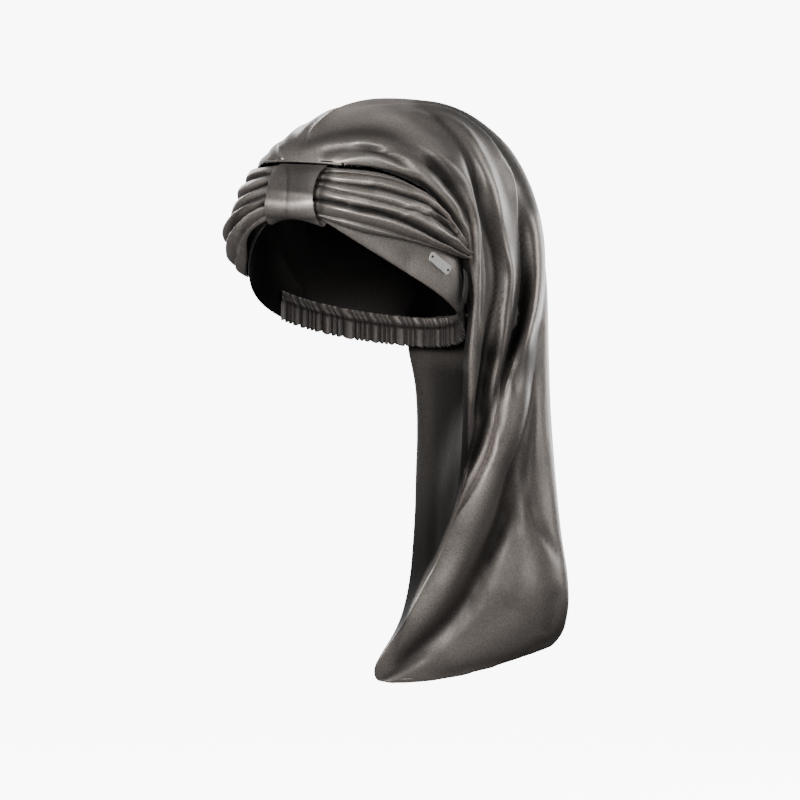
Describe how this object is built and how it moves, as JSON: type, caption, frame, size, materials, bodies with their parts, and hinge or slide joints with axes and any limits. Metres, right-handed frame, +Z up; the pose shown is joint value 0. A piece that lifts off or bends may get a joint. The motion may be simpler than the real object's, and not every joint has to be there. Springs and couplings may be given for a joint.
{
  "type": "satin nightcap with a long tail",
  "caption": "Long-tailed satin sleeping bonnet with a pleated headband, centre loop, ruffled elastic nape casing and a small blank metal plate.",
  "frame": {"origin": "middle of the head opening, between the forehead edge and the nape", "axes": "+Z up, the wearer's face looks along -Y, +X is the wearer's left"},
  "size_m": [0.2046, 0.3063, 0.4745],
  "materials": {
    "satin": "glossy satin",
    "casing": "gathered satin",
    "plate": "polished"
  },
  "bodies": {
    "root": {"crown_and_tail": "satin", "front_band": "satin", "gathered_band": "satin", "centre_loop": "satin", "seam_welt": "satin", "nape_casing": "casing", "side_tab": "satin", "metal_tag": "plate"}
  },
  "joints": []
}
